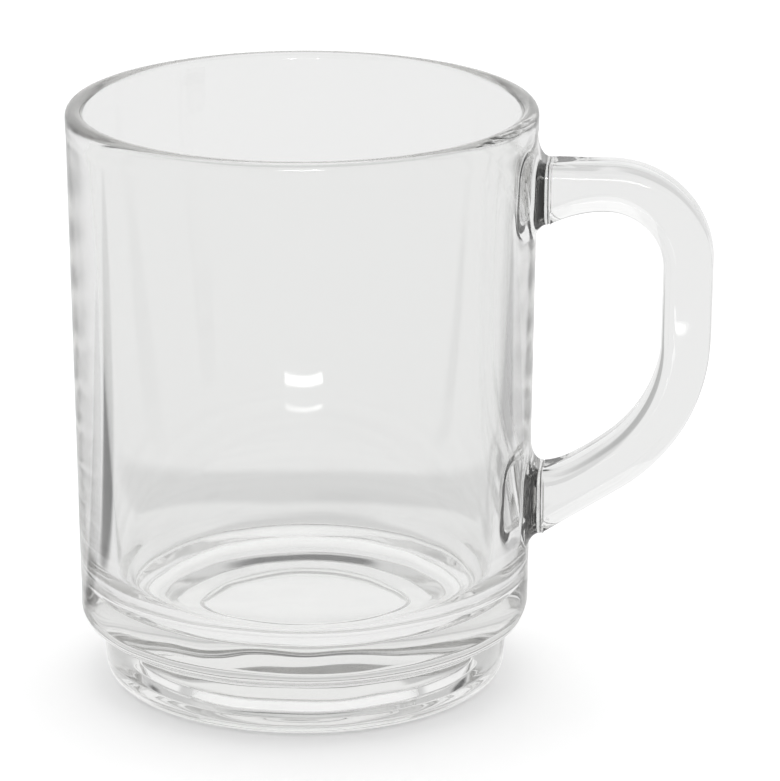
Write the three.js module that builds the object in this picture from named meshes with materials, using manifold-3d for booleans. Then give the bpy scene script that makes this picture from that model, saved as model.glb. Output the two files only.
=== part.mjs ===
// A stackable tea glass: a thick pressed bowl on a short foot, and a solid glass bar handle that is
// fused to two flared lugs on the bowl's side. Millimetres, +Z up, standing on the XY plane.
import * as THREE from "three";
import { mergeVertices } from "three/addons/utils/BufferGeometryUtils.js";
import Module from "manifold-3d";

// Bowl, outside: a tapered wall between a rounded rim and a round shoulder
const glassHeight = 93.6;
const rimRadius = 37;
const rimThickness = 2.8;
const beadHeight = 4.4;
const beadProud = 0.1;
const shoulderRadius = 35.8;
const shoulderHeight = 12.6;

// Stacking foot: it drops inside the rim of the glass below, which then carries the shoulder
const stackingClearance = 1.8;
const footTaper = 0.5;
const footEdgeRound = 3.4;
const contactWidth = 2.2;

// Bowl, inside
const floorHeight = 13.4;
const baseWallThickness = 5.8;
const floorCornerRound = 9;

// Underside: a shallow recess that ramps up inside the contact ring, with a deeper disc at its centre
const recessHeight = 1.3;
const recessSlope = 4.6;
const recessRound = 3;
const centreRadius = 17;
const centreStep = 1.75;
const centreSlope = 0.35;
const centreRound = 0.4;

// Handle: a bar of rounded rectangular section, bent in the XZ plane
const handleProjection = 27.7;
const handleDepth = 9.5;
const handleEdgeRound = 2.4;
const gripThickness = 7.8;
const gripLean = 0.5;
const upperArmDrop = 8.1;
const upperArmThickness = 7.4;
const upperBendRound = 16;
const upperBendInnerRound = 9;
const lowerBendHeight = 41.6;
const lowerBendRound = 30;
const lowerBendInnerHeight = 47;
const lowerBendInnerRound = 21.5;

// Roots: the bar deepens towards its two flat ends, and the lugs flare from there to the wall
const upperRootHeight = 9.7;
const upperRootRun = 4.6;
const lowerRootTop = 35.6;
const lowerRootHeight = 10.6;
const lowerRootRun = 3.3;
const lugLength = 2.1;
const upperLugFlare = 3.6;
const lowerLugFlare = 3.4;
const lugBite = 0.08;

// Mesh fineness
const turnSegments = 72;
const cornerSteps = 4;
const shoulderSteps = 7;
const bendSteps = 12;
const armSteps = 6;
const lugSteps = 6;

// Sizes that follow from the driving ones
const innerRimRadius = rimRadius - rimThickness;
const lipRound = rimThickness / 2;
const wallTopRadius = rimRadius - beadProud;
const beadBottom = glassHeight - beadHeight;
const footTopRadius = innerRimRadius - stackingClearance;
const shoulderRound = shoulderRadius - footTopRadius;
const footHeight = shoulderHeight - shoulderRound;
const footBottomRadius = footTopRadius - footTaper;
const contactOuterRadius = footBottomRadius - footEdgeRound;
const contactInnerRadius = contactOuterRadius - contactWidth;
const recessRadius = contactInnerRadius - recessSlope;
const centreHeight = recessHeight + centreStep;
const innerFloorRadius = shoulderRadius - baseWallThickness;
const handleReach = rimRadius + handleProjection;
const upperArmTop = glassHeight - upperArmDrop;
const upperRootBottom = upperArmTop - upperRootHeight;
const lowerRootBottom = lowerRootTop - lowerRootHeight;
const upperSeam = wallRadiusAt(upperArmTop - upperRootHeight / 2) + lugLength;
const lowerSeam = wallRadiusAt(lowerRootTop - lowerRootHeight / 2) + lugLength;

const glass = new THREE.MeshStandardMaterial({
  color: 0xeef1f0,
  roughness: 0.04,
  metalness: 0,
  transparent: true,
  opacity: 0.35,
});

const wasm = await Module();
wasm.setup();

// Outside radius of the tapered wall at a height
function wallRadiusAt(height) {
  const share = (height - shoulderHeight) / (beadBottom - shoulderHeight);
  return shoulderRadius + (wallTopRadius - shoulderRadius) * share;
}

function point(x, y) {
  return new THREE.Vector2(x, y);
}

// The arc that rounds a corner between two straight stretches of an outline
function roundCorner(before, corner, after, radius) {
  const back = before.clone().sub(corner).normalize();
  const ahead = after.clone().sub(corner).normalize();
  const halfTurn = (Math.PI - back.angleTo(ahead)) / 2;
  const middle = back.clone().add(ahead).normalize();
  const centre = corner.clone().addScaledVector(middle, radius / Math.cos(halfTurn));
  const start = corner.clone().addScaledVector(back, radius * Math.tan(halfTurn)).sub(centre);
  const end = corner.clone().addScaledVector(ahead, radius * Math.tan(halfTurn)).sub(centre);
  const clockwise = start.cross(end) < 0;
  return new THREE.EllipseCurve(
    centre.x, centre.y, radius, radius, start.angle(), end.angle(), clockwise,
  );
}

// An outline through corners, each with its own rounding (0 leaves it sharp)
function roundedOutline(corners) {
  return corners.flatMap(({ at, round }, i) => {
    if (!round) {
      return [at];
    }
    return roundCorner(corners[i - 1].at, at, corners[i + 1].at, round).getPoints(cornerSteps);
  });
}

function corner(x, y, round = 0) {
  return { at: point(x, y), round };
}

// The shoulder: a quarter round from the top of the foot out to the wall
function shoulderArc() {
  const arc = new THREE.EllipseCurve(
    footTopRadius, shoulderHeight, shoulderRound, shoulderRound, -Math.PI / 2, 0, false,
  );
  return arc.getPoints(shoulderSteps);
}

// Half section of the bowl, from the axis under the base, round the outside and back along the inside
function bowlProfile() {
  const underside = roundedOutline([
    corner(0, centreHeight),
    corner(centreRadius, centreHeight, centreRound),
    corner(centreRadius + centreSlope, recessHeight, centreRound),
    corner(recessRadius, recessHeight, recessRound),
    corner(contactInnerRadius, 0, recessRound),
    corner(footBottomRadius, 0, footEdgeRound),
    corner(footTopRadius, footHeight),
  ]).slice(0, -1);
  const lip = new THREE.EllipseCurve(
    rimRadius - lipRound, glassHeight - lipRound, lipRound, lipRound, 0, Math.PI, false,
  );
  const rim = [
    point(wallTopRadius, beadBottom),
    point(rimRadius, beadBottom + lipRound),
    ...lip.getPoints(2 * cornerSteps),
  ];
  const inside = roundedOutline([
    corner(innerRimRadius, glassHeight - lipRound),
    corner(innerFloorRadius, floorHeight, floorCornerRound),
    corner(0, floorHeight),
  ]).slice(1);
  return [...underside, ...shoulderArc(), ...rim, ...inside];
}

// Rounded-rectangle section: a ring of points round a centre, wide along a direction in the XZ plane
// and deep along Y. The spread grows it evenly on every side.
function sectionRing(outside, inside, spread = 0) {
  const centre = outside.clone().add(inside).divideScalar(2);
  const across = outside.clone().sub(inside);
  const halfThickness = across.length() / 2;
  across.normalize();
  const round = Math.min(handleEdgeRound, halfThickness, handleDepth / 2);
  const ring = [];
  for (let quarter = 0; quarter < 4; quarter += 1) {
    const alongSide = quarter === 0 || quarter === 3 ? 1 : -1;
    const deepSide = quarter < 2 ? 1 : -1;
    for (let step = 0; step <= cornerSteps; step += 1) {
      const angle = ((quarter + step / cornerSteps) * Math.PI) / 2;
      const along = alongSide * (halfThickness - round) + (round + spread) * Math.cos(angle);
      const deep = deepSide * (handleDepth / 2 - round) + (round + spread) * Math.sin(angle);
      ring.push(new THREE.Vector3(centre.x + across.x * along, deep, centre.y + across.y * along));
    }
  }
  return ring;
}

// A closed solid from a run of rings with as many points each, capped at both ends
function loft(rings) {
  const count = rings[0].length;
  const vertices = rings.flat();
  const faces = [];
  for (let r = 0; r + 1 < rings.length; r += 1) {
    for (let i = 0; i < count; i += 1) {
      const a = r * count + i;
      const b = r * count + ((i + 1) % count);
      faces.push(a, a + count, b, b, a + count, b + count);
    }
  }
  const last = (rings.length - 1) * count;
  for (let i = 1; i + 1 < count; i += 1) {
    faces.push(0, i, i + 1);
    faces.push(last, last + i + 1, last + i);
  }
  return new THREE.BufferGeometry().setFromPoints(vertices).setIndex(faces);
}

// One lug: from the flat seam it flares along a quarter ellipse until it lies in the wall's surface,
// and a last ring inside the glass lets it join the wall
function lugGeometry(seam, top, bottom, flare) {
  const rings = [];
  for (let step = 0; step <= lugSteps; step += 1) {
    const angle = ((step / lugSteps) * Math.PI) / 2;
    const ring = sectionRing(point(seam, top), point(seam, bottom), flare * (1 - Math.cos(angle)));
    for (const p of ring) {
      const wall = Math.sqrt(wallRadiusAt(p.z) ** 2 - p.y ** 2) - lugBite;
      p.x = seam - (seam - wall) * Math.sin(angle);
    }
    rings.push(ring);
  }
  rings.push(rings[lugSteps].map((p) => p.clone().setX(p.x - lipRound)));
  return loft(rings.reverse());
}

// The handle's two outlines as matching stretches: arm, bend, grip, bend, arm
function handleOutlines() {
  const upperCorner = point(handleReach, upperArmTop);
  const lowerCorner = point(handleReach - gripLean, lowerBendHeight);
  const upperEnd = point(upperSeam, upperArmTop);
  const lowerEnd = point(lowerSeam, lowerRootBottom);
  const outerUpperBend = roundCorner(upperEnd, upperCorner, lowerCorner, upperBendRound);
  const outerLowerBend = roundCorner(upperCorner, lowerCorner, lowerEnd, lowerBendRound);
  const outer = [
    new THREE.LineCurve(upperEnd, outerUpperBend.getPoint(0)),
    outerUpperBend,
    new THREE.LineCurve(outerUpperBend.getPoint(1), outerLowerBend.getPoint(0)),
    outerLowerBend,
    new THREE.LineCurve(outerLowerBend.getPoint(1), lowerEnd),
  ];

  const upperInner = point(handleReach - gripThickness, upperArmTop - upperArmThickness);
  const lowerInner = point(lowerCorner.x - gripThickness, lowerBendInnerHeight);
  const upperRoot = point(upperSeam + upperRootRun, upperInner.y);
  const lowerRoot = point(lowerSeam + lowerRootRun, lowerRootTop);
  const innerUpperBend = roundCorner(upperRoot, upperInner, lowerInner, upperBendInnerRound);
  const innerLowerBend = roundCorner(upperInner, lowerInner, lowerRoot, lowerBendInnerRound);
  const inner = [
    new THREE.QuadraticBezierCurve(
      point(upperSeam, upperRootBottom), upperRoot, innerUpperBend.getPoint(0),
    ),
    innerUpperBend,
    new THREE.LineCurve(innerUpperBend.getPoint(1), innerLowerBend.getPoint(0)),
    innerLowerBend,
    new THREE.QuadraticBezierCurve(
      innerLowerBend.getPoint(1), lowerRoot, point(lowerSeam, lowerRootTop),
    ),
  ];
  return { outer, inner };
}

function handleGeometry() {
  const { outer, inner } = handleOutlines();
  const steps = [armSteps, bendSteps, armSteps, bendSteps, armSteps];
  const rings = [];
  steps.forEach((count, stretch) => {
    for (let step = 0; step < count; step += 1) {
      const share = step / count;
      rings.push(sectionRing(outer[stretch].getPoint(share), inner[stretch].getPoint(share)));
    }
  });
  rings.push(sectionRing(point(lowerSeam, lowerRootBottom), point(lowerSeam, lowerRootTop)));
  return loft(rings);
}

// A closed mesh as a solid that can be joined to another
function solidOf(geometry) {
  geometry.deleteAttribute("normal");
  geometry.deleteAttribute("uv");
  const merged = mergeVertices(geometry);
  return new wasm.Manifold(new wasm.Mesh({
    numProp: 3,
    vertProperties: new Float32Array(merged.attributes.position.array),
    triVerts: new Uint32Array(merged.index.array),
  }));
}

function geometryOf(solid) {
  const mesh = solid.getMesh();
  const geometry = new THREE.BufferGeometry();
  geometry.setAttribute("position", new THREE.BufferAttribute(mesh.vertProperties, mesh.numProp));
  geometry.setIndex(new THREE.BufferAttribute(mesh.triVerts, 1));
  geometry.computeVertexNormals();
  return geometry;
}

function bowlGeometry() {
  const turned = new THREE.LatheGeometry(bowlProfile(), turnSegments).rotateX(Math.PI / 2);
  const upperLug = lugGeometry(upperSeam, upperArmTop, upperRootBottom, upperLugFlare);
  const lowerLug = lugGeometry(lowerSeam, lowerRootTop, lowerRootBottom, lowerLugFlare);
  return geometryOf(solidOf(turned).add(solidOf(upperLug)).add(solidOf(lowerLug)));
}

function named(name, geometry) {
  const mesh = new THREE.Mesh(geometry, glass);
  mesh.name = name;
  return mesh;
}

// The frame's origin is the middle of the whole outline, so the bowl's axis lies off it
const part = new THREE.Group();
part.add(named("bowl", bowlGeometry()), named("handle", handleGeometry()));
part.position.x = -handleProjection / 2;

export default part;
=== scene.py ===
import math

import bmesh
import bpy
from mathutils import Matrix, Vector, noise


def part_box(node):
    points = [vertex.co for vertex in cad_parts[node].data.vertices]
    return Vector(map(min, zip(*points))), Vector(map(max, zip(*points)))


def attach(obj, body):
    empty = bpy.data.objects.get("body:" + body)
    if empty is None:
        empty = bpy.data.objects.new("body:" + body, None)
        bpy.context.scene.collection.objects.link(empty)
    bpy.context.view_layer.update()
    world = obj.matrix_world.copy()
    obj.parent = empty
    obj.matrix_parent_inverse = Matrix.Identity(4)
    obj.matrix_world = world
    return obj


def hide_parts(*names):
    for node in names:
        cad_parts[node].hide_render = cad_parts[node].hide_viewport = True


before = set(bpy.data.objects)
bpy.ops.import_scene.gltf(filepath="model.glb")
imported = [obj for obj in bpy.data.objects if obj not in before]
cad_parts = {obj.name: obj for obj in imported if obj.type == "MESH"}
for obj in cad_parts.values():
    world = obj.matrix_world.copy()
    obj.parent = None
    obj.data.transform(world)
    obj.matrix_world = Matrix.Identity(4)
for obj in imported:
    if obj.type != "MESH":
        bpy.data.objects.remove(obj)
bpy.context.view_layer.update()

# A clear pressed tea glass: a thick bowl on a stacking foot, and a solid bar handle fused to two lugs.
# Shapes are worked out in millimetres about the bowl's axis and become metres as the meshes are made.
MM = 0.001
TOLERANCE = 0.001

# Sizes read from the frame
bowl_low, bowl_high = (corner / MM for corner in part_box("bowl"))
GLASS_HEIGHT = bowl_high.z
RIM_RADIUS = (bowl_high.y - bowl_low.y) / 2
AXIS_X = bowl_low.x + RIM_RADIUS

# Bowl, outside
RIM_THICKNESS = 2.8
BEAD_HEIGHT = 4.4
BEAD_PROUD = 0.1
SHOULDER_RADIUS = 35.8
SHOULDER_HEIGHT = 12.6

# Stacking foot
STACKING_CLEARANCE = 1.8
FOOT_TAPER = 0.5
FOOT_EDGE_ROUND = 3.4
FOOT_NOTCH_ROUND = 0.7
CONTACT_WIDTH = 2.2

# Bowl, inside
FLOOR_HEIGHT = 13.4
BASE_WALL_THICKNESS = 5.8
FLOOR_CORNER_ROUND = 9.0

# Underside: a shallow recess with a deeper disc at its centre
RECESS_HEIGHT = 1.3
RECESS_SLOPE = 4.6
RECESS_ROUND = 3.0
CENTRE_RADIUS = 17.0
CENTRE_STEP = 1.75
CENTRE_SLOPE = 0.35
CENTRE_ROUND = 0.4

# Handle
HANDLE_PROJECTION = 27.7
HANDLE_DEPTH = 9.5
HANDLE_EDGE_ROUND = 2.4
GRIP_THICKNESS = 7.8
GRIP_LEAN = 0.5
UPPER_ARM_DROP = 8.1
UPPER_ARM_THICKNESS = 7.4
UPPER_BEND_ROUND = 16
UPPER_BEND_INNER_ROUND = 9
LOWER_BEND_HEIGHT = 41.6
LOWER_BEND_ROUND = 30
LOWER_BEND_INNER_HEIGHT = 47
LOWER_BEND_INNER_ROUND = 21.5

# Roots of the handle and the lugs that they are fused to
UPPER_ROOT_HEIGHT = 9.7
UPPER_ROOT_RUN = 4.6
LOWER_ROOT_TOP = 35.6
LOWER_ROOT_HEIGHT = 10.6
LOWER_ROOT_RUN = 3.3
LUG_LENGTH = 2.1
UPPER_LUG_FLARE = 3.6
LOWER_LUG_FLARE = 3.4
SEAM_ROUND = 0.25

# Unevenness of pressed glass: heights of the upright streaks in the walls
INSIDE_STREAKS = 0.04
OUTSIDE_STREAKS = 0.01
INSIDE_SEED = 3.7
OUTSIDE_SEED = 9.1
FINE_STREAK_COUNT = 7
FINE_STREAK_LENGTH = 300
BROAD_STREAK_COUNT = 2
BROAD_STREAK_LENGTH = 90

# Heights of the soft waves in the base, how far apart they are, and how gently they fade out
FOOT_WAVES = 0.18
FLOOR_WAVES = 0.08
UNDERSIDE_WAVES = 0.06
WAVE_SPACING = 9.0
WAVE_SQUEEZE = 2
WAVE_FADE = 6.0

# The glass itself: its clear colour and bending, its tint in depth, and the haze of its walls
GLASS_COLOUR = (0.955, 0.957, 0.953, 1)
GLASS_IOR = 1.52
GLASS_TINT = (0.51, 0.505, 0.485, 1)
GLASS_DENSITY = 6.5
HAZE_LEAST = 0.01
HAZE_MOST = 0.055
HAZE_FINENESS = 90.0
HAZE_STRETCH = 0.06
HAZE_DETAIL = 2.0
HAZE_NOISE_LOW = 0.3
HAZE_NOISE_HIGH = 0.7

# Mesh fineness
TURN_SEGMENTS = 340
FLAT_STEPS = 9
ROUND_STEPS = 18
LEAST_ROUND_STEPS = 6
ROUND_STEPS_PER_MM = 2
LIP_STEPS = 26
ARM_STEPS = 24
GRIP_STEPS = 24
UPPER_BEND_STEPS = 40
LOWER_BEND_STEPS = 44
ROW_STEP = 2.4
WINDOW_MARGIN = 1.4
WINDOW_RING_SHARES = (0.35, 0.7)

# Sizes that follow from these. The edge of a lug's window has as many points as the lug's loops.
WINDOW_HALF = (2 * FLAT_STEPS + ROUND_STEPS) // 2
INNER_RIM_RADIUS = RIM_RADIUS - RIM_THICKNESS
LIP_ROUND = RIM_THICKNESS / 2
WALL_TOP_RADIUS = RIM_RADIUS - BEAD_PROUD
BEAD_BOTTOM = GLASS_HEIGHT - BEAD_HEIGHT
FOOT_TOP_RADIUS = INNER_RIM_RADIUS - STACKING_CLEARANCE
SHOULDER_ROUND = SHOULDER_RADIUS - FOOT_TOP_RADIUS
FOOT_HEIGHT = SHOULDER_HEIGHT - SHOULDER_ROUND
FOOT_BOTTOM_RADIUS = FOOT_TOP_RADIUS - FOOT_TAPER
CONTACT_INNER_RADIUS = FOOT_BOTTOM_RADIUS - FOOT_EDGE_ROUND - CONTACT_WIDTH
RECESS_RADIUS = CONTACT_INNER_RADIUS - RECESS_SLOPE
CENTRE_HEIGHT = RECESS_HEIGHT + CENTRE_STEP
INNER_FLOOR_RADIUS = SHOULDER_RADIUS - BASE_WALL_THICKNESS
INNER_WALL_TOP = GLASS_HEIGHT - LIP_ROUND
HANDLE_REACH = RIM_RADIUS + HANDLE_PROJECTION
UPPER_ARM_TOP = GLASS_HEIGHT - UPPER_ARM_DROP
UPPER_ROOT_BOTTOM = UPPER_ARM_TOP - UPPER_ROOT_HEIGHT
LOWER_ROOT_BOTTOM = LOWER_ROOT_TOP - LOWER_ROOT_HEIGHT

# Camera, fitted to the outlines of the rim, wall, foot and handle
CAMERA_DISTANCE = 725.0
CAMERA_HEIGHT = 274.8
CAMERA_PITCH = 0.3048
CAMERA_YAW = 0.0189
HANDLE_TURN = math.radians(6.5)
SENSOR_WIDTH = 36
LENS = 220.9

# The sheet that the glass stands on, with its half size in metres. It gives back a share of the light, the
# camera sees its shading with a lift, and the glass shows it at a level, with some of its shading.
FLOOR_HALF_SIZE = 2.0
FLOOR_SEGMENTS = 8
FLOOR_ALBEDO = 0.55
FLOOR_SHOWN = 0.95
FLOOR_LIFT = 0.25
SHEET_LEVEL = 0.9
SHEET_SHADING = 0.25

# Ovals painted on the sheet that only the glass shows: a painted pool of light under the glass, a painted
# shadow of the glass right behind it, and dark patches at the left and back right. Their columns are
# azimuth, distance, half width, half length and level
PAINTED_LIGHT_AND_SHADE_OVALS = (
    (0, 0, 38, 38, 1.18),
    (183, 70, 70, 18, 0.74),
    (-109, 150, 12, 95, 0.1),
    (130, 165, 22, 100, 0.5),
)
OVAL_SOFTNESS = 0.35

# The sky that lights the sheet is brightest behind the glass, at this elevation in degrees. The slant is
# the mean upward part of the light that an even sky sends to a level sheet.
SKY_AZIMUTH = 180
SKY_ELEVATION = 45
SKY_MEAN_SLANT = 2 / 3

# The room that the glass shows, and the cards in it: azimuth, elevation, half width and half height in
# degrees, softness and level. A later card lies in front of the ones before it.
ROOM_LEVEL = 0.85
CARDS = (
    (180, 3, 75, 10, 0.3, 0.98),
    (180, 18, 75, 9, 0.3, 1.06),
    (180, 46, 70, 18, 0.35, 0.68),
    (191, 36, 12, 4, 0.6, 0.05),
    (20, 78, 40, 14, 0.4, 0.25),
    (-20, 35, 16, 10, 0.4, 0.3),
)
CARD_LEAST_DEPTH = 0.001

# Bright strips close above the sheet that the glass mirrors: distance, width, depth and level
STRIPS = (
    (209, 62, 6, 10),
    (193, 56, 2.5, 6),
)
STRIP_HEIGHT = 0.2

# A long narrow lamp, behind the camera and higher up
LAMP_DISTANCE = 1100
LAMP_HEIGHT = 450
LAMP_WIDTH = 420
LAMP_DEPTH = 24
LAMP_LEVEL = 60


# Curves as functions of a share from 0 to 1

def line(start, end):
    return lambda share: start.lerp(end, share)


def bezier(start, pull, end):
    def at(share):
        return start.lerp(pull, share).lerp(pull.lerp(end, share), share)
    return at


def arc(centre, radius, start_angle, end_angle):
    def at(share):
        angle = start_angle + (end_angle - start_angle) * share
        return centre + radius * Vector((math.cos(angle), math.sin(angle)))
    return at


def bend(before, corner, after, radius):
    """The arc that rounds a corner between two straight stretches."""
    back = (before - corner).normalized()
    ahead = (after - corner).normalized()
    half_turn = (math.pi - back.angle(ahead)) / 2
    centre = corner + (back + ahead).normalized() * radius / math.cos(half_turn)
    start = corner + back * radius * math.tan(half_turn) - centre
    end = corner + ahead * radius * math.tan(half_turn) - centre
    start_angle = math.atan2(start.y, start.x)
    turn = math.atan2(start.x * end.y - start.y * end.x, start.dot(end))
    return arc(centre, radius, start_angle, start_angle + turn)


def points(curve, steps):
    """Points along a curve, less its last one."""
    return [curve(step / steps) for step in range(steps)]


def outline(corners, spacing):
    """Points through corners given as (x, y, round), with the straight stretches divided evenly, and
    the last point, which is not among them."""
    found = []
    last = Vector(corners[0][:2])
    for number, (x, y, radius) in enumerate(corners[1:], 1):
        corner = Vector((x, y))
        rounded = None
        start = corner
        if radius:
            before = Vector(corners[number - 1][:2])
            after = Vector(corners[number + 1][:2])
            rounded = bend(before, corner, after, radius)
            start = rounded(0)
        found += points(line(last, start), max(1, round((start - last).length / spacing)))
        last = start
        if rounded:
            steps = LEAST_ROUND_STEPS + round(ROUND_STEPS_PER_MM * radius)
            found += points(rounded, min(ROUND_STEPS, steps))
            last = rounded(1)
    return found, last


def smooth(share):
    share = min(max(share, 0), 1)
    return share * share * (3 - 2 * share)


def quarter_turn(step, steps):
    return math.pi / 2 * step / steps


# Meshes

def metres(place):
    return (place[0] + AXIS_X) * MM, place[1] * MM, place[2] * MM


def join_rings(shape, rings):
    for ring, following in zip(rings, rings[1:]):
        for number in range(len(ring)):
            after = (number + 1) % len(ring)
            shape.faces.new((ring[number], ring[after], following[after], following[number]))


def cap(shape, ring):
    """The flat end that is fused to its neighbour, in the second material."""
    face = shape.faces.new(ring)
    face.material_index = 1
    for edge in face.edges:
        edge.smooth = False


def linked_object(name, data):
    made = bpy.data.objects.new(name, data)
    bpy.context.scene.collection.objects.link(made)
    return made


def object_of(name, shape):
    mesh = bpy.data.meshes.new(name)
    shape.to_mesh(mesh)
    shape.free()
    return linked_object(name, mesh)


def finished_piece(name, shape):
    bmesh.ops.recalc_face_normals(shape, faces=shape.faces)
    for face in shape.faces:
        face.smooth = True
    return object_of(name, shape)


def flat_square(name, half_size, segments, material):
    shape = bmesh.new()
    bmesh.ops.create_grid(shape, x_segments=segments, y_segments=segments, size=half_size)
    square = object_of(name, shape)
    square.data.materials.append(material)
    return square


# Bowl

def wall_radius(height):
    """Outside radius of the tapered wall, which stands a little proud under the lip."""
    share = (height - SHOULDER_HEIGHT) / (BEAD_BOTTOM - SHOULDER_HEIGHT)
    taper = SHOULDER_RADIUS + (WALL_TOP_RADIUS - SHOULDER_RADIUS) * min(share, 1)
    return taper + BEAD_PROUD * smooth((height - BEAD_BOTTOM) / LIP_ROUND)


UPPER_SEAM = wall_radius(UPPER_ARM_TOP - UPPER_ROOT_HEIGHT / 2) + LUG_LENGTH
LOWER_SEAM = wall_radius(LOWER_ROOT_TOP - LOWER_ROOT_HEIGHT / 2) + LUG_LENGTH


def section_loop(half_deep, half_along, spread=0.0):
    """A rounded rectangle as (deep, along) pairs, from the middle of its +deep side towards +along."""
    edge = min(HANDLE_EDGE_ROUND, half_deep, half_along)
    flat_deep = half_deep - edge
    flat_along = half_along - edge
    reach = edge + spread
    quarter = [(half_deep + spread, flat_along * step / FLAT_STEPS) for step in range(FLAT_STEPS)]
    for step in range(ROUND_STEPS):
        angle = quarter_turn(step, ROUND_STEPS)
        quarter.append((flat_deep + reach * math.cos(angle), flat_along + reach * math.sin(angle)))
    quarter += [
        (flat_deep * (1 - step / FLAT_STEPS), half_along + spread) for step in range(FLAT_STEPS + 1)
    ]
    back = quarter[:0:-1]
    ahead = quarter[:-1]
    return (
        ahead
        + [(-deep, along) for deep, along in back]
        + [(-deep, -along) for deep, along in ahead]
        + [(deep, -along) for deep, along in back]
    )


def on_wall(deep, height):
    """The point of the outside wall at an offset across the handle's plane and a height."""
    return Vector((math.sqrt(wall_radius(height) ** 2 - deep ** 2), deep, height))


def lug_loops(seam, top, bottom, flare):
    """Loops from the wall out to the seam: a quarter-ellipse flare, then the small round at the seam."""
    middle = (top + bottom) / 2
    half = (top - bottom) / 2
    shoulder = seam - SEAM_ROUND
    loops = []
    for step in range(ROUND_STEPS, -1, -1):
        angle = quarter_turn(step, ROUND_STEPS)
        loop = []
        for deep, along in section_loop(HANDLE_DEPTH / 2, half, flare * (1 - math.cos(angle))):
            wall = on_wall(deep, middle + along)
            x = shoulder - (shoulder - wall.x) * math.sin(angle)
            loop.append(Vector((x, deep, middle + along)))
        loops.append(loop)
    for step in range(1, FLAT_STEPS + 1):
        angle = quarter_turn(step, FLAT_STEPS)
        shrink = -SEAM_ROUND * (1 - math.cos(angle))
        x = shoulder + SEAM_ROUND * math.sin(angle)
        loops.append([
            Vector((x, deep, middle + along))
            for deep, along in section_loop(HANDLE_DEPTH / 2, half, shrink)
        ])
    return loops


def window_rows(top, bottom, flare):
    """Heights of the wall's rows beside a lug, which leave a window for it."""
    middle = (top + bottom) / 2
    half = (top - bottom) / 2 + flare + WINDOW_MARGIN
    return [middle + half * step / WINDOW_HALF for step in range(-WINDOW_HALF, WINDOW_HALF + 1)]


def even_rows(low, high):
    """Heights of the wall's rows between two heights, less these two."""
    steps = max(1, round((high - low) / ROW_STEP))
    return [low + (high - low) * step / steps for step in range(1, steps)]


def base_outline():
    """Half section of the bowl from the axis under the base to the top of the shoulder."""
    under, foot_end = outline([
        (0, CENTRE_HEIGHT, 0),
        (CENTRE_RADIUS, CENTRE_HEIGHT, CENTRE_ROUND),
        (CENTRE_RADIUS + CENTRE_SLOPE, RECESS_HEIGHT, CENTRE_ROUND),
        (RECESS_RADIUS, RECESS_HEIGHT, RECESS_ROUND),
        (CONTACT_INNER_RADIUS, 0, RECESS_ROUND),
        (FOOT_BOTTOM_RADIUS, 0, FOOT_EDGE_ROUND),
        (FOOT_TOP_RADIUS, FOOT_HEIGHT - FOOT_NOTCH_ROUND, 0),
    ], ROW_STEP)
    shoulder = arc(Vector((FOOT_TOP_RADIUS, SHOULDER_HEIGHT)), SHOULDER_ROUND, -math.pi / 2, 0)
    notch_share = FOOT_NOTCH_ROUND / (SHOULDER_ROUND * math.pi / 2)
    notch = bezier(foot_end, Vector((FOOT_TOP_RADIUS, FOOT_HEIGHT)), shoulder(notch_share))
    rounded = [
        shoulder(notch_share + (1 - notch_share) * step / ROUND_STEPS) for step in range(ROUND_STEPS)
    ]
    return under + points(notch, FLAT_STEPS) + rounded


def bowl_profile():
    """Half section of the bowl from the axis under the base round to the axis inside, and the rows of
    the outside wall at which each lug's window starts."""
    base = base_outline()
    lower = window_rows(LOWER_ROOT_TOP, LOWER_ROOT_BOTTOM, LOWER_LUG_FLARE)
    upper = window_rows(UPPER_ARM_TOP, UPPER_ROOT_BOTTOM, UPPER_LUG_FLARE)
    heights = [SHOULDER_HEIGHT] + even_rows(SHOULDER_HEIGHT, lower[0])
    lower_start = len(base) + len(heights)
    heights += lower + even_rows(lower[-1], upper[0])
    upper_start = len(base) + len(heights)
    heights += upper + even_rows(upper[-1], INNER_WALL_TOP)
    wall = [Vector((wall_radius(height), height)) for height in heights]

    lip = arc(Vector((RIM_RADIUS - LIP_ROUND, INNER_WALL_TOP)), LIP_ROUND, 0, math.pi)
    inside, middle = outline([
        (INNER_RIM_RADIUS, INNER_WALL_TOP, 0),
        (INNER_FLOOR_RADIUS, FLOOR_HEIGHT, FLOOR_CORNER_ROUND),
        (0, FLOOR_HEIGHT, 0),
    ], ROW_STEP)
    profile = base + wall + points(lip, LIP_STEPS) + inside + [middle]
    return profile, lower_start, upper_start


def round_axis(radius, angle, height):
    return Vector((radius * math.cos(angle), radius * math.sin(angle), height))


def streaks(angle, height, seed):
    """Soft upright streaks, as a pressing leaves in a wall."""
    fine = round_axis(FINE_STREAK_COUNT, angle, height / FINE_STREAK_LENGTH + seed)
    broad = round_axis(BROAD_STREAK_COUNT, angle, height / BROAD_STREAK_LENGTH - seed)
    return (noise.noise(fine) + noise.noise(broad)) / 2


def waves(radius, angle, height):
    """Soft shallow waves all over, as molten glass leaves them."""
    return noise.noise(round_axis(radius, angle, WAVE_SQUEEZE * height) / WAVE_SPACING)


def is_inside(radius, height):
    """Whether a point of the profile lies on the inside of the bowl."""
    share = (height - FLOOR_HEIGHT) / (INNER_WALL_TOP - FLOOR_HEIGHT)
    wall = INNER_FLOOR_RADIUS + (INNER_RIM_RADIUS - INNER_FLOOR_RADIUS) * share
    return height > FLOOR_HEIGHT - TOLERANCE and radius < wall + LIP_ROUND / 2


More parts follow.
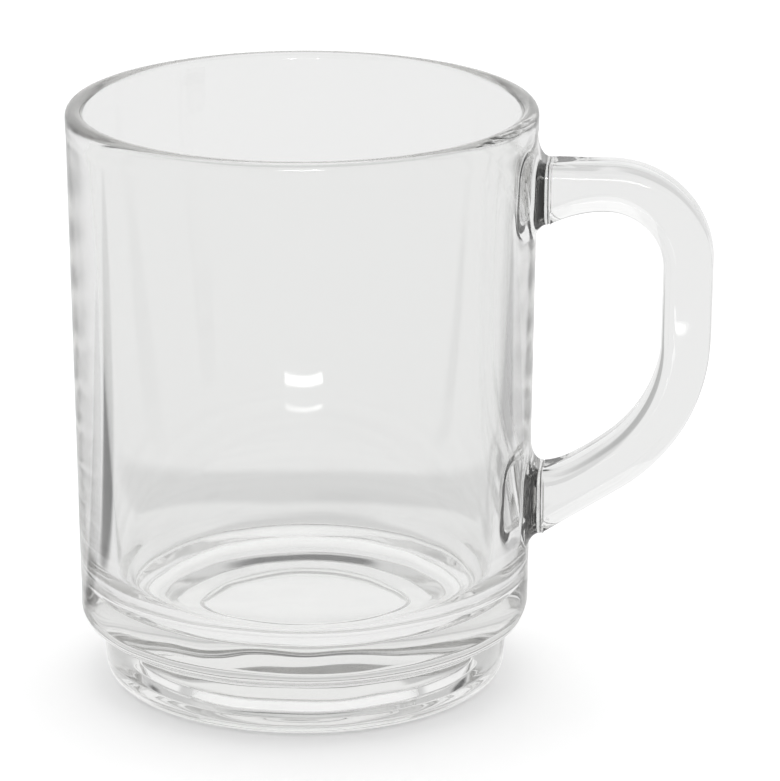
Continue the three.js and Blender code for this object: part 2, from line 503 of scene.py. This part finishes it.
def uneven(place, angle, underside):
    """A point of the profile with the pressing's unevenness, which fades out at the lip, foot and axis."""
    radius, height = place
    wave = waves(radius, angle, height)
    off_axis = smooth(radius / WAVE_FADE)
    if underside:
        fade = off_axis * smooth((CENTRE_RADIUS - radius) / (WAVE_FADE / 2))
        return radius, height + UNDERSIDE_WAVES * fade * wave
    below_lip = smooth((GLASS_HEIGHT - height) / BEAD_HEIGHT) * smooth(radius / INNER_FLOOR_RADIUS)
    if is_inside(radius, height):
        low = smooth((FLOOR_HEIGHT + FLOOR_CORNER_ROUND - height) / WAVE_FADE)
        streak = INSIDE_STREAKS * below_lip * streaks(angle, height, INSIDE_SEED)
        return radius + streak, height + FLOOR_WAVES * off_axis * low * wave
    low = smooth(height / WAVE_FADE) * smooth((SHOULDER_HEIGHT + WAVE_FADE - height) / WAVE_FADE)
    streak = OUTSIDE_STREAKS * below_lip * streaks(angle, height, OUTSIDE_SEED)
    return radius + streak + FOOT_WAVES * low * wave, height


def window_edge(first):
    """(row, column) pairs round a lug's window, in the order of a section loop."""
    middle = first + WINDOW_HALF
    half = WINDOW_HALF
    up = [(middle + step, half) for step in range(half)]
    across = [(middle + half, half - step) for step in range(2 * half)]
    down = [(middle + half - step, -half) for step in range(2 * half)]
    back = [(middle - half, step - half) for step in range(2 * half)]
    rest = [(middle - half + step, half) for step in range(half)]
    return up + across + down + back + rest


def turned_grid(shape, profile, windows):
    """The profile turned round the axis, by (row, column), or by row alone on the axis. It leaves out
    what lies within the lugs' windows."""
    contact = next(row for row, place in enumerate(profile) if place.y == 0)

    def in_window(row, column):
        near = (column + TURN_SEGMENTS // 2) % TURN_SEGMENTS - TURN_SEGMENTS // 2
        return abs(near) < WINDOW_HALF and any(0 < row - first < 2 * WINDOW_HALF for first in windows)

    grid = {}
    for row, place in enumerate(profile):
        if place.x < TOLERANCE:
            grid[row] = shape.verts.new(metres((0, 0, place.y)))
            continue
        for column in range(TURN_SEGMENTS):
            if in_window(row, column):
                continue
            angle = math.tau * column / TURN_SEGMENTS
            radius, height = uneven(place, angle, row < contact)
            spot = (radius * math.cos(angle), radius * math.sin(angle), height)
            grid[row, column] = shape.verts.new(metres(spot))
    return grid


def skin_grid(shape, grid, rows):
    for row in range(rows - 1):
        for column in range(TURN_SEGMENTS):
            after = (column + 1) % TURN_SEGMENTS
            corners = [(row, column), (row, after), (row + 1, after), (row + 1, column)]
            if row in grid:
                corners[:2] = [row]
            if row + 1 in grid:
                corners[-2:] = [row + 1]
            if all(corner in grid for corner in corners):
                shape.faces.new([grid[corner] for corner in corners])


def add_lug(shape, edge, loops):
    """Fills a window: rings in the wall's surface from its edge to the lug, and then the lug's loops."""
    rings = [edge]
    for share in WINDOW_RING_SHARES:
        ring = []
        for vertex, target in zip(edge, loops[0]):
            start = Vector(vertex.co) / MM
            deep = start.y + (target.y - start.y) * share
            height = start.z + (target.z - start.z) * share
            ring.append(shape.verts.new(metres(on_wall(deep, height))))
        rings.append(ring)
    rings += [[shape.verts.new(metres(spot)) for spot in loop] for loop in loops]
    join_rings(shape, rings)
    cap(shape, rings[-1])


def make_bowl():
    profile, lower_start, upper_start = bowl_profile()
    windows = {
        lower_start: lug_loops(LOWER_SEAM, LOWER_ROOT_TOP, LOWER_ROOT_BOTTOM, LOWER_LUG_FLARE),
        upper_start: lug_loops(UPPER_SEAM, UPPER_ARM_TOP, UPPER_ROOT_BOTTOM, UPPER_LUG_FLARE),
    }
    shape = bmesh.new()
    grid = turned_grid(shape, profile, windows)
    skin_grid(shape, grid, len(profile))
    for first, loops in windows.items():
        edge = [grid[row, column % TURN_SEGMENTS] for row, column in window_edge(first)]
        add_lug(shape, edge, loops)
    return finished_piece("glass_bowl", shape)


# Handle

def handle_stretches():
    """The handle's outer and inner outlines as matching curves with their steps."""
    upper_corner = Vector((HANDLE_REACH, UPPER_ARM_TOP))
    lower_corner = Vector((HANDLE_REACH - GRIP_LEAN, LOWER_BEND_HEIGHT))
    upper_end = Vector((UPPER_SEAM, UPPER_ARM_TOP))
    lower_end = Vector((LOWER_SEAM, LOWER_ROOT_BOTTOM))
    outer_upper = bend(upper_end, upper_corner, lower_corner, UPPER_BEND_ROUND)
    outer_lower = bend(upper_corner, lower_corner, lower_end, LOWER_BEND_ROUND)

    upper_inner = Vector((HANDLE_REACH - GRIP_THICKNESS, UPPER_ARM_TOP - UPPER_ARM_THICKNESS))
    lower_inner = Vector((lower_corner.x - GRIP_THICKNESS, LOWER_BEND_INNER_HEIGHT))
    upper_root = Vector((UPPER_SEAM + UPPER_ROOT_RUN, upper_inner.y))
    lower_root = Vector((LOWER_SEAM + LOWER_ROOT_RUN, LOWER_ROOT_TOP))
    inner_upper = bend(upper_root, upper_inner, lower_inner, UPPER_BEND_INNER_ROUND)
    inner_lower = bend(upper_inner, lower_inner, lower_root, LOWER_BEND_INNER_ROUND)
    upper_foot = Vector((UPPER_SEAM, UPPER_ROOT_BOTTOM))
    lower_foot = Vector((LOWER_SEAM, LOWER_ROOT_TOP))
    return [
        (line(upper_end, outer_upper(0)), bezier(upper_foot, upper_root, inner_upper(0)), ARM_STEPS),
        (outer_upper, inner_upper, UPPER_BEND_STEPS),
        (line(outer_upper(1), outer_lower(0)), line(inner_upper(1), inner_lower(0)), GRIP_STEPS),
        (outer_lower, inner_lower, LOWER_BEND_STEPS),
        (line(outer_lower(1), lower_end), bezier(inner_lower(1), lower_root, lower_foot), ARM_STEPS),
    ]


def handle_ring(outside, inside, spread=0.0, shift=0.0):
    """The bar's section between two points of its outlines, grown by a spread and shifted along X."""
    middle = (outside + inside) / 2
    along_way = (outside - inside).normalized()
    half = (outside - inside).length / 2
    ring = []
    for deep, along in section_loop(HANDLE_DEPTH / 2, half, spread):
        spot = middle + along_way * along
        ring.append(Vector((spot.x + shift, deep, spot.y)))
    return ring


def end_rings(outside, inside):
    """Rings from just off a seam onto it, over the small round."""
    rings = []
    for step in range(FLAT_STEPS + 1):
        angle = quarter_turn(step, FLAT_STEPS)
        shrink = -SEAM_ROUND * (1 - math.cos(angle))
        rings.append(handle_ring(outside, inside, shrink, SEAM_ROUND * (1 - math.sin(angle))))
    return rings


def make_handle():
    stretches = handle_stretches()
    first_outer, first_inner, _ = stretches[0]
    last_outer, last_inner, _ = stretches[-1]
    swept = [
        handle_ring(outer(step / steps), inner(step / steps))
        for outer, inner, steps in stretches
        for step in range(steps)
    ]
    upper_end = end_rings(first_outer(0), first_inner(0))
    lower_end = end_rings(last_outer(1), last_inner(1))
    shape = bmesh.new()
    rings = [
        [shape.verts.new(metres(spot)) for spot in ring]
        for ring in upper_end[::-1] + swept[1:] + lower_end
    ]
    join_rings(shape, rings)
    cap(shape, rings[0])
    cap(shape, rings[-1])
    return finished_piece("glass_handle", shape)


# Shader nodes

def put(tree, socket, value):
    """Links a socket to another one, or sets it to a number, colour or vector."""
    if isinstance(value, bpy.types.NodeSocket):
        tree.links.new(value, socket)
    else:
        socket.default_value = value


def node(tree, kind, **inputs):
    made = tree.nodes.new(kind)
    for name, value in inputs.items():
        put(tree, made.inputs[name.replace("_", " ")], value)
    return made


def maths(tree, operation, *values):
    """A Math node's result, from numbers or sockets."""
    made = tree.nodes.new("ShaderNodeMath")
    made.operation = operation
    for socket, value in zip(made.inputs, values):
        put(tree, socket, value)
    return made.outputs[0]


def vector_maths(tree, operation, first, second):
    made = tree.nodes.new("ShaderNodeVectorMath")
    made.operation = operation
    put(tree, made.inputs[0], first)
    put(tree, made.inputs[1], second)
    return made.outputs


def along(tree, way, direction):
    return vector_maths(tree, "DOT_PRODUCT", way, direction)["Value"]


def mixed(tree, share, start, end):
    """Start where the share is 0 and end where it is 1."""
    return maths(tree, "MULTIPLY_ADD", share, maths(tree, "SUBTRACT", end, start), start)


def eased(tree, value, low, high, start=0.0, end=1.0):
    """Start below low, end above high, and a smooth change between them."""
    made = node(tree, "ShaderNodeMapRange", Value=value, From_Min=low, From_Max=high,
                To_Min=start, To_Max=end)
    made.interpolation_type = "SMOOTHSTEP"
    return made.outputs["Result"]


def new_material(name):
    material = bpy.data.materials.new(name)
    material.use_nodes = True
    material.node_tree.nodes.clear()
    return material, material.node_tree


# Glass

def glass_material():
    """Clear glass with a tint in depth. Above the base its surface has a faint haze in upright streaks."""
    material, tree = new_material("clear_glass")
    place = node(tree, "ShaderNodeTexCoord").outputs["Object"]
    upright = node(tree, "ShaderNodeMapping", Vector=place, Scale=(1, 1, HAZE_STRETCH))
    haze = node(tree, "ShaderNodeTexNoise", Vector=upright.outputs["Vector"],
                Scale=HAZE_FINENESS, Detail=HAZE_DETAIL)
    streaky = eased(tree, haze.outputs["Fac"], HAZE_NOISE_LOW, HAZE_NOISE_HIGH, HAZE_LEAST, HAZE_MOST)
    height = node(tree, "ShaderNodeSeparateXYZ", Vector=place).outputs["Z"]
    above_base = eased(tree, height, SHOULDER_HEIGHT * MM, 2 * SHOULDER_HEIGHT * MM)
    rough = maths(tree, "MULTIPLY", streaky, above_base)
    shader = node(tree, "ShaderNodeBsdfPrincipled", Base_Color=GLASS_COLOUR,
                  Roughness=rough, IOR=GLASS_IOR, Transmission_Weight=1.0)
    depth = node(tree, "ShaderNodeVolumeAbsorption", Color=GLASS_TINT, Density=GLASS_DENSITY)
    node(tree, "ShaderNodeOutputMaterial", Surface=shader.outputs["BSDF"], Volume=depth.outputs["Volume"])
    return material


def fused_material():
    """The flat faces where bowl and handle are melted together let light straight through."""
    material, tree = new_material("fused_joint")
    clear = node(tree, "ShaderNodeBsdfTransparent")
    node(tree, "ShaderNodeOutputMaterial", Surface=clear.outputs["BSDF"])
    return material


# Stage

def facing(azimuth, elevation):
    """The way towards something beside the glass: azimuth 0 is the -Y side and 90 the +X side."""
    turn = math.radians(azimuth)
    rise = math.radians(elevation)
    return Vector((math.sin(turn) * math.cos(rise), -math.cos(turn) * math.cos(rise), math.sin(rise)))


def seen_by_glass(tree):
    """1 for a mirrored or bent ray from the camera, and 0 for one that has met the floor on its way."""
    path = node(tree, "ShaderNodeLightPath").outputs
    bent = maths(tree, "MAXIMUM", path["Is Glossy Ray"], path["Is Transmission Ray"])
    straight = maths(tree, "LESS_THAN", path["Diffuse Depth"], 1.0)
    return maths(tree, "MULTIPLY", bent, straight)


def card_mask(tree, way, azimuth, elevation, width, height, soft):
    """1 where a way meets a rectangular card of that angular half width and half height."""
    ahead = facing(azimuth, elevation)
    side = Vector((math.cos(math.radians(azimuth)), math.sin(math.radians(azimuth)), 0))
    depth = maths(tree, "MAXIMUM", along(tree, way, ahead), CARD_LEAST_DEPTH)
    masks = []
    for axis, half in ((side, width), (ahead.cross(side), height)):
        offset = maths(tree, "ABSOLUTE", maths(tree, "DIVIDE", along(tree, way, axis), depth))
        edge = math.tan(math.radians(half))
        masks.append(eased(tree, offset, edge * (1 - soft), edge * (1 + soft), 1.0, 0.0))
    return maths(tree, "MULTIPLY", *masks)


def painted_oval_mask(tree, place, azimuth, distance, half_width, half_length):
    """1 on a painted oval of the sheet whose length points at the glass."""
    outward = facing(azimuth, 0)
    sideward = outward.cross(Vector((0, 0, 1)))
    spot = vector_maths(tree, "SUBTRACT", place, metres(outward * distance))["Vector"]
    lengthwise = maths(tree, "DIVIDE", along(tree, spot, outward), half_length * MM)
    sideways = maths(tree, "DIVIDE", along(tree, spot, sideward), half_width * MM)
    reach = maths(tree, "ADD", maths(tree, "POWER", lengthwise, 2.0), maths(tree, "POWER", sideways, 2.0))
    return eased(tree, reach, 1 - OVAL_SOFTNESS, 1 + OVAL_SOFTNESS, 1.0, 0.0)


def floor_material():
    """White paper: the camera sees the shadow on it, and the glass shows the painted ovals, which are a
    painted pool of light under the glass, a painted shadow behind it and dark patches.
    """
    material, tree = new_material("white_sheet")
    place = node(tree, "ShaderNodeNewGeometry").outputs["Position"]
    camera = node(tree, "ShaderNodeLightPath").outputs["Is Camera Ray"]
    bent = seen_by_glass(tree)
    # For the glass the sheet glows at a level. The ovals paint a pool of light under the glass, a shadow
    # behind it and dark patches into that glow.
    level = SHEET_LEVEL
    for *oval, shade in PAINTED_LIGHT_AND_SHADE_OVALS:
        level = mixed(tree, painted_oval_mask(tree, place, *oval), level, shade)
    plain = mixed(tree, camera, FLOOR_ALBEDO, FLOOR_SHOWN)
    colour = mixed(tree, bent, plain, maths(tree, "MULTIPLY", level, SHEET_SHADING))
    lift = maths(tree, "MULTIPLY", camera, FLOOR_LIFT)
    light = mixed(tree, bent, lift, maths(tree, "MULTIPLY", level, 1 - SHEET_SHADING))
    diffuse = node(tree, "ShaderNodeBsdfDiffuse", Color=colour)
    glow = node(tree, "ShaderNodeEmission", Strength=light)
    both = tree.nodes.new("ShaderNodeAddShader")
    put(tree, both.inputs[0], diffuse.outputs["BSDF"])
    put(tree, both.inputs[1], glow.outputs["Emission"])
    node(tree, "ShaderNodeOutputMaterial", Surface=both.outputs["Shader"])
    return material


def make_floor():
    floor = flat_square("floor", FLOOR_HALF_SIZE, FLOOR_SEGMENTS, floor_material())


def make_world():
    """A white surround for the camera, a sky that lights the sheet, and a room with cards for the glass."""
    world = bpy.data.worlds.new("studio")
    bpy.context.scene.world = world
    world.use_nodes = True
    tree = world.node_tree
    tree.nodes.clear()
    way = node(tree, "ShaderNodeTexCoord").outputs["Generated"]
    room = ROOM_LEVEL
    for *card, level in CARDS:
        room = mixed(tree, card_mask(tree, way, *card), room, level)
    key = along(tree, way, facing(SKY_AZIMUTH, SKY_ELEVATION))
    even = 1 / (1 + math.sin(math.radians(SKY_ELEVATION)) * SKY_MEAN_SLANT)
    sky = maths(tree, "MULTIPLY_ADD", key, even, even)
    camera = node(tree, "ShaderNodeLightPath").outputs["Is Camera Ray"]
    shown = mixed(tree, camera, sky, 1.0)
    level = mixed(tree, seen_by_glass(tree), shown, room)
    surround = node(tree, "ShaderNodeBackground", Color=(1, 1, 1, 1), Strength=level)
    node(tree, "ShaderNodeOutputWorld", Surface=surround.outputs["Background"])


def make_panel(name, width, depth, level, place, turn):
    """A bright panel that only shows as sparkles in the glass."""
    material, tree = new_material(name)
    light = node(tree, "ShaderNodeEmission", Strength=level)
    node(tree, "ShaderNodeOutputMaterial", Surface=light.outputs["Emission"])
    panel = flat_square(name, MM / 2, 1, material)
    panel.scale = (width, depth, 1)
    panel.location = metres(place)
    panel.rotation_euler = turn
    panel.visible_camera = False
    panel.visible_diffuse = False
    panel.visible_shadow = False
    panel.visible_transmission = False


def make_lights():
    ahead = facing(math.degrees(HANDLE_TURN), 0)
    lamp_place = ahead * LAMP_DISTANCE + Vector((0, 0, LAMP_HEIGHT))
    lamp_turn = (-lamp_place).to_track_quat("-Z", "Y").to_euler()
    make_panel("lamp", LAMP_WIDTH, LAMP_DEPTH, LAMP_LEVEL, lamp_place, lamp_turn)
    for number, (distance, width, depth, level) in enumerate(STRIPS, 1):
        place = ahead * distance + Vector((0, 0, STRIP_HEIGHT))
        make_panel(f"strip_{number}", width, depth, level, place, (0, 0, HANDLE_TURN))


def make_camera():
    camera = linked_object("camera", bpy.data.cameras.new("camera"))
    heading = CAMERA_YAW - HANDLE_TURN
    forward = Vector((
        math.sin(heading) * math.cos(CAMERA_PITCH),
        math.cos(heading) * math.cos(CAMERA_PITCH),
        -math.sin(CAMERA_PITCH),
    ))
    camera.location = metres((
        CAMERA_DISTANCE * math.sin(HANDLE_TURN),
        -CAMERA_DISTANCE * math.cos(HANDLE_TURN),
        CAMERA_HEIGHT,
    ))
    camera.rotation_euler = forward.to_track_quat("-Z", "Y").to_euler()
    camera.data.sensor_fit = "HORIZONTAL"
    camera.data.sensor_width = SENSOR_WIDTH
    camera.data.lens = LENS
    bpy.context.scene.camera = camera


def set_rendering():
    """Enough bounces for thick glass, and plain colours."""
    cycles = bpy.context.scene.cycles
    cycles.max_bounces = 32
    cycles.glossy_bounces = 24
    cycles.transmission_bounces = 32
    cycles.transparent_max_bounces = 16
    cycles.diffuse_bounces = 3
    bpy.context.scene.view_settings.view_transform = "Standard"


bowl = make_bowl()
handle = make_handle()
glass = glass_material()
fused = fused_material()
for piece, stands_for in ((bowl, "bowl"), (handle, "handle")):
    piece.data.materials.append(glass)
    piece.data.materials.append(fused)
    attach(piece, "root")
    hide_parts(stands_for)

make_floor()
make_world()
make_lights()
make_camera()
set_rendering()
